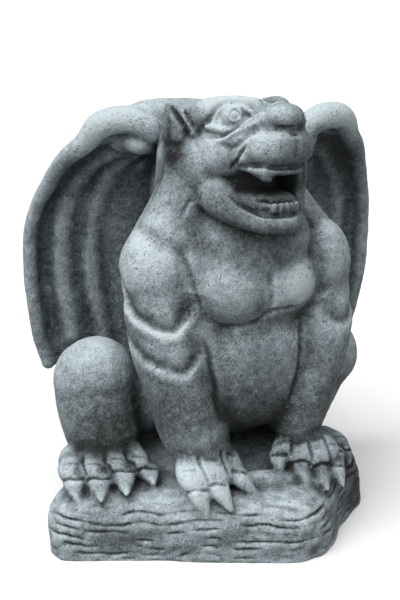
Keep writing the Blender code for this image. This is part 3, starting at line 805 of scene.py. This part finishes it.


# Patches where the stone is darker (below 0) or paler (above 0): x, y, z, radius, amount. Some are real
# stains and wear; others are painted shade inside the mouth, under the ear, under the jaw and on the slab's
# +X side, and the paler patches on tops such as the brow, the cheek, the deltoid, the arm's ledge and the
# wing tops are partly worn pale and partly painted light.
stainsAndPaintedLight = [
    (-74, -90, 146, 46, -0.42), (-100, -60, 170, 30, -0.1), (66, -78, 140, 50, -0.40),
    (-140, -34, 104, 48, -0.66), (-8, -70, 118, 50, -0.54), (-4, -96, 166, 40, -0.10),
    (-72, -47, 395, 18, -0.72), (4, -86, 326, 38, -0.46), (130, -60, 40, 60, -0.62),
    (-160, -90, 20, 40, -0.06), (-130, -90, 62, 60, -0.04), (-20, -120, 62, 70, 0.04),
    (-46, -80, 398, 24, 0.62), (-66, -40, 350, 34, 0.16), (-12, -124, 408, 30, 0.46),
    (14, -122, 438, 22, 0.24), (-28, -82, 447, 28, 1.05), (-60, -118, 80, 44, 0.38),
    (-90, -88, 226, 22, 0.28), (-80, -92, 184, 20, 0.14), (-92, -60, 290, 40, 0.32),
    (-140, 60, 300, 90, 0.26), (-130, 16, 416, 46, 0.66), (160, 90, 290, 90, 0.20),
    (120, 10, 420, 36, 0.8), (38, -112, 270, 34, 0.72), (-24, -110, 272, 36, 0.14),
    (0, -90, 372, 28, -1.2), (26, -68, 368, 24, -1.0), (-96, 0, 196, 40, 0.1), (70, -108, 76, 34, -0.10),
    (0, -96, 214, 40, 0.12), (92, -50, 240, 40, 0.18), (-140, -60, 74, 40, 0.04),
]


toneShape = {
    "lift": 0.8, "reach": 90,  # mm that the rays start off the skin, and how far they look
    "turn": 2.399963,  # the golden angle, which spreads the rays evenly
    "shelterTimes": 3,
    "fineTimes": (3, 1), "fineSize": 0.45,  # rounds of blurring, and the mm that count as full relief
    "broadTimes": 40, "broadSize": 3.0,
    "stainAndLightEdge": 1.4,
}


# Averages values with their neighbours' along the edges a to b, some times over.
def blur(values, times, a, b, links):
    for _ in range(times):
        total = np.bincount(a, values[b], len(values)) + np.bincount(b, values[a], len(values))
        values = 0.5 * values + 0.5 * total / links
    return values


# How closed in each point is, from 0 in the open to 1. The stone's colour darkens with it, as painted shade
# in hollows and creases.
def findShelter(data, points, normals):
    tree = BVHTree.FromPolygons([Vector(p) for p in points], [tuple(f.vertices) for f in data.polygons])
    rays, reach, lift = build["shelterRays"], toneShape["reach"] * mm, toneShape["lift"] * mm
    turns = [(math.sqrt((k + 0.5) / rays), k * toneShape["turn"]) for k in range(rays)]
    shelter = np.zeros(len(points))
    for i, (point, outward) in enumerate(zip(points, normals)):
        normal = Vector(outward)
        across = normal.orthogonal().normalized()
        other = normal.cross(across)
        start = Vector(point) + normal * lift
        clear = 0.0
        for radius, angle in turns:
            sideways = (across * math.cos(angle) + other * math.sin(angle)) * radius
            ray = sideways + normal * math.sqrt(1 - radius ** 2)
            hit = tree.ray_cast(start, ray, reach)[3]
            clear += 1.0 if hit is None else hit / reach
        shelter[i] = 1 - clear / rays
    return shelter


# Stores how sheltered, how raised and how upward each point of the skin is, and its stained patches, for the
# stone's tones, which paint shade into hollows, creases and shaded sides and paint light onto tops and
# bulges.
def storeTones(body):
    data = body.data
    points, normals = readRows(data.vertices, "co"), readRows(data.vertex_normals, "vector")
    ends = np.empty(len(data.edges) * 2, np.int32)
    data.edges.foreach_get("vertices", ends)
    a, b = ends.reshape(-1, 2).T
    links = np.bincount(a, minlength=len(points)) + np.bincount(b, minlength=len(points))

    def raised(times):
        smooth = np.stack([blur(points[:, k], times, a, b, links) for k in range(3)], axis=1)
        return ((points - smooth) * normals).sum(axis=1) / mm

    shelter = blur(findShelter(data, points, normals), toneShape["shelterTimes"], a, b, links)
    near, after = toneShape["fineTimes"]
    fine = np.clip(blur(raised(near), after, a, b, links) / toneShape["fineSize"], -1, 1)
    broad = np.clip(raised(toneShape["broadTimes"]) / toneShape["broadSize"], -1, 1)
    at = points / mm - np.array([*build["middle"], 0])
    stainAndPaintedLight = np.zeros(len(points))
    for x, y, z, radius, amount in stainsAndPaintedLight:
        away = np.linalg.norm(at - (x, y, z), axis=1) / radius
        stainAndPaintedLight += amount * np.exp(-away ** 2 * toneShape["stainAndLightEdge"])
    for name, values in (("shelter", shelter), ("fine", fine), ("broad", broad), ("upward", normals[:, 2]),
                         ("stainAndPaintedLight", stainAndPaintedLight)):
        layer = data.attributes.new(name, "FLOAT", "POINT")
        layer.data.foreach_set("value", values.astype(np.float32))


class Number:
    def __init__(self, nodes, socket):
        self.nodes, self.socket = nodes, socket

    def math(self, operation, a, b):
        return self.nodes.add("ShaderNodeMath", {"operation": operation}, [a, b])

    def __add__(self, other):
        return self.math("ADD", self, other)

    def __sub__(self, other):
        return self.math("SUBTRACT", self, other)

    def __rsub__(self, other):
        return self.math("SUBTRACT", other, self)

    def __mul__(self, other):
        return self.math("MULTIPLY", self, other)

    def __truediv__(self, other):
        return self.math("DIVIDE", self, other)

    def __pow__(self, other):
        return self.math("POWER", self, other)

    __radd__, __rmul__ = __add__, __mul__

    def clamped(self):
        return self.nodes.add("ShaderNodeClamp", {}, [self, 0.0, 1.0])

    # Rises smoothly from 0 at low to 1 at high.
    def between(self, low, high):
        settings = {"interpolation_type": "SMOOTHSTEP"}
        return self.nodes.add("ShaderNodeMapRange", settings, [self, low, high, 0.0, 1.0])


class Nodes:
    def __init__(self, material):
        self.tree = material.node_tree

    # A node of a type, with its settings first and then its sockets, by place or by name.
    def add(self, kind, settings, sockets=(), out=0):
        node = self.tree.nodes.new(kind)
        for name, value in settings.items():
            setattr(node, name, value)
        items = sockets.items() if isinstance(sockets, dict) else enumerate(sockets)
        for key, value in items:
            if isinstance(value, Number):
                self.tree.links.new(value.socket, node.inputs[key])
            else:
                node.inputs[key].default_value = value
        return Number(self, node.outputs[out])

    def attribute(self, name):
        return self.add("ShaderNodeAttribute", {"attribute_name": name}, out="Fac")

    def mix(self, factor, first, second):
        return self.add("ShaderNodeMix", {"data_type": "RGBA", "clamp_factor": True},
                        {0: factor, 6: first, 7: second}, out=2)

    # Colours along a 0 to 1 value, at stops of (place, colour).
    def ramp(self, factor, stops):
        ramp = self.add("ShaderNodeValToRGB", {}, [factor])
        marks = ramp.socket.node.color_ramp.elements
        for place, colour in stops[1:-1]:
            marks.new(place)
        for mark, (place, colour) in zip(marks, stops):
            mark.position, mark.color = place, colour
        return ramp

    def noise(self, where, scale, detail, rough):
        sockets = {"Vector": where, "Scale": scale, "Detail": detail, "Roughness": rough}
        return self.add("ShaderNodeTexNoise", {}, sockets)


stone = {
    "tones": [(0.0, (0.007, 0.0085, 0.0085, 1)), (0.2, (0.032, 0.037, 0.038, 1)),
              (0.4, (0.094, 0.111, 0.118, 1)), (0.6, (0.19, 0.226, 0.243, 1)),
              (0.8, (0.325, 0.382, 0.41, 1)), (1.0, (0.50, 0.575, 0.60, 1))],
    "start": 0.58, "spread": 0.8,  # the tone of open upright stone, and how much of the ramp is used
    # upward paints light on tops, broad paints light on bulges and shade round them, fine paints shade in
    # creases and pales small ridges (partly worn edges), shelter paints shade in closed-in hollows
    "upward": 0.22, "broad": 0.1, "fine": 0.34, "shelter": 0.62,  # how much each stored value shows
    "patches": (24, 4, 0.6), "blotch": (72.8, 3, 0.6), "speckle": (224, 3, 0.7), "grain": (560, 3, 0.7),
    "patchTone": 0.36, "blotchTone": 0.3, "speckleTone": 0.6,
    "salt": (0.36, 0.40, 0.40, 1), "saltAmount": 0.28, "saltFrom": (0.6, 0.72), "saltOpen": (0.2, 0.7),
    "dirt": (0.014, 0.015, 0.013, 1), "dirtAmount": 0.75, "dirtOffTop": 0.5,
    "pits": 420, "pitSizes": (210, 1, 0.5),
    "pitWide": (0.1, 0.35), "pitEdge": (0.6, 1.0), "pitFrom": (0.5, 0.66),
    "grainHeight": 0.5, "speckleHeight": 0.8, "blotchHeight": 0.5,
    "bump": 0.75, "bumpDistance": 0.0024,
    "roughness": 0.8, "specular": 0.35,
}


def makeStone():
    material = bpy.data.materials.new("stone")
    material.use_nodes = True
    nodes = Nodes(material)
    shader = material.node_tree.nodes["Principled BSDF"]
    where = nodes.add("ShaderNodeTexCoord", {}, out="Object")
    shelter, fine = nodes.attribute("shelter"), nodes.attribute("fine")
    broad, upward, stainAndPaintedLight = nodes.attribute("broad"), nodes.attribute("upward"), nodes.attribute("stainAndPaintedLight")
    grain, speckle = nodes.noise(where, *stone["grain"]), nodes.noise(where, *stone["speckle"])
    blotch, patches = nodes.noise(where, *stone["blotch"]), nodes.noise(where, *stone["patches"])
    cells = nodes.add("ShaderNodeTexVoronoi", {"feature": "F1"}, {"Vector": where, "Scale": stone["pits"]})
    size = nodes.noise(where, *stone["pitSizes"])
    least, more = stone["pitWide"]
    pits = (1 - (cells / (least + size * more)).between(*stone["pitEdge"])) * size.between(*stone["pitFrom"])
    # Painted light and shade in the tone: tops that face up come out paler, bulges paler with darker ground
    # round them, small ridges paler (partly worn edges) and creases darker, closed-in hollows darker; the
    # stained patches add stains and wear, and painted light and shade.
    tone = stone["start"] + upward * stone["upward"] + broad * stone["broad"] + fine * stone["fine"]
    tone = tone - shelter ** 2 * stone["shelter"] + stainAndPaintedLight
    tone = tone + (patches - 0.5) * stone["patchTone"] + (blotch - 0.5) * stone["blotchTone"]
    tone = tone + (grain - 0.5) + (speckle - 0.5) * stone["speckleTone"]
    colour = nodes.ramp((tone * stone["spread"]).clamped(), stone["tones"])
    salt = speckle.between(*stone["saltFrom"]) * (1 - upward.clamped())
    salt = salt * (1 - shelter).between(*stone["saltOpen"])
    dirt = pits * (stone["dirtAmount"] - upward.clamped() * stone["dirtOffTop"])
    colour = nodes.mix(salt * stone["saltAmount"], colour, stone["salt"])
    colour = nodes.mix(dirt, colour, stone["dirt"])
    tree = material.node_tree
    tree.links.new(colour.socket, shader.inputs["Base Color"])
    shader.inputs["Roughness"].default_value = stone["roughness"]
    shader.inputs["Specular IOR Level"].default_value = stone["specular"]
    height = grain * stone["grainHeight"] + speckle * stone["speckleHeight"]
    height = height + blotch * stone["blotchHeight"] - pits
    sockets = {"Strength": stone["bump"], "Distance": stone["bumpDistance"], "Height": height}
    bump = nodes.add("ShaderNodeBump", {}, sockets, out="Normal")
    tree.links.new(bump.socket, shader.inputs["Normal"])
    return material


mesh = bmesh.new()
for parts in bodyParts.values():
    addParts(mesh, parts)
torso = merge(mesh, "torso", build["bodyVoxel"], build["bodyTimes"])
soften(torso, softPlaces["front"], build["frontTimes"])
print("torso", len(torso.data.polygons))

mesh = bmesh.new()
for side in (-1, 1):
    addWing(mesh, side)
wings = merge(mesh, "wings", build["wingVoxel"], build["wingTimes"])
mesh = bmesh.new()
takeBack(mesh, torso)
takeBack(mesh, wings)
addPaws(mesh)
addSlab(mesh)
figure = merge(mesh, "figure", build["figureVoxel"], build["figureTimes"])
soften(figure, softPlaces["paws"], build["pawTimes"])
print("paws, slab and wings", len(figure.data.polygons))

at = headPlace()
mesh = bmesh.new()
addHead(mesh, at)
head = merge(mesh, "head", build["headVoxel"], build["headTimes"])
mesh = bmesh.new()
takeBack(mesh, figure)
takeBack(mesh, head)
addFeatures(mesh, at)
statue = merge(mesh, "gargoyle_stone", build["carvingVoxel"], build["carvingTimes"])
print("head", len(statue.data.polygons))

soften(statue, softPlaces["neck"], build["neckTimes"])
carve(statue, bodyCuts() + pawCuts() + headCuts(at))
crackSlab(statue)
weather(statue)
print("carving")
thin(statue)
stand(statue)
print("facets", len(statue.data.polygons))
storeTones(statue)
print("tones")
statue.data.materials.append(makeStone())
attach(statue, "root")
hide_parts("gargoyle")


studio = {
    "floor": 0.9, "floorSize": 30.0, "sky": 0.27,
    "lamps": {"top": ((-0.42, -0.35, 1.0), 3.4, 70),  # direction, power, spread
              "front": ((-0.8, -1.0, 0.6), 0.7, 80)},
}


def makeFloor():
    mesh = bmesh.new()
    bmesh.ops.create_grid(mesh, x_segments=1, y_segments=1, size=studio["floorSize"])
    data = bpy.data.meshes.new("floor")
    mesh.to_mesh(data)
    mesh.free()
    floor = bpy.data.objects.new("floor", data)
    bpy.context.scene.collection.objects.link(floor)
    material = bpy.data.materials.new("floor")
    material.use_nodes = True
    shader = material.node_tree.nodes["Principled BSDF"]
    shader.inputs["Base Color"].default_value = (studio["floor"], studio["floor"], studio["floor"], 1)
    shader.inputs["Roughness"].default_value = 0.9
    data.materials.append(material)
    floor.visible_diffuse = False  # keeps its bounce off the stone


# A wide soft lamp far away, shining from that direction.
def addLamp(name, direction, power, spread):
    data = bpy.data.lights.new(name, "SUN")
    data.energy, data.angle = power, math.radians(spread)
    lamp = bpy.data.objects.new(name, data)
    bpy.context.scene.collection.objects.link(lamp)
    lamp.location = Vector(direction) * 3
    lamp.rotation_euler = Vector(direction).to_track_quat("Z", "Y").to_euler()


view = {"azimuth": -15, "elevation": 17, "distance": 1.15, "aim": (-0.032, 0.0, 0.232), "lens": 66}

makeFloor()
world = bpy.data.worlds.new("studio")
world.use_nodes = True
world.node_tree.nodes["Background"].inputs["Color"].default_value = (1.0, 1.0, 1.0, 1)
world.node_tree.nodes["Background"].inputs["Strength"].default_value = studio["sky"]
scene = bpy.context.scene
scene.world = world
scene.view_settings.view_transform = "Standard"
for name, (direction, power, spread) in studio["lamps"].items():
    addLamp(name, direction, power, spread)

turn, rise = math.radians(view["azimuth"]), math.radians(view["elevation"])
back = Vector((math.sin(turn) * math.cos(rise), -math.cos(turn) * math.cos(rise), math.sin(rise)))
aim = Vector(view["aim"]) + Vector((*build["middle"], 0)) * mm
camera = bpy.data.cameras.new("camera")
camera.lens = view["lens"]
camera.sensor_width = 36
viewer = bpy.data.objects.new("camera", camera)
scene.collection.objects.link(viewer)
viewer.location = aim + back * view["distance"]
viewer.rotation_euler = (-back).to_track_quat("-Z", "Y").to_euler()
scene.camera = viewer
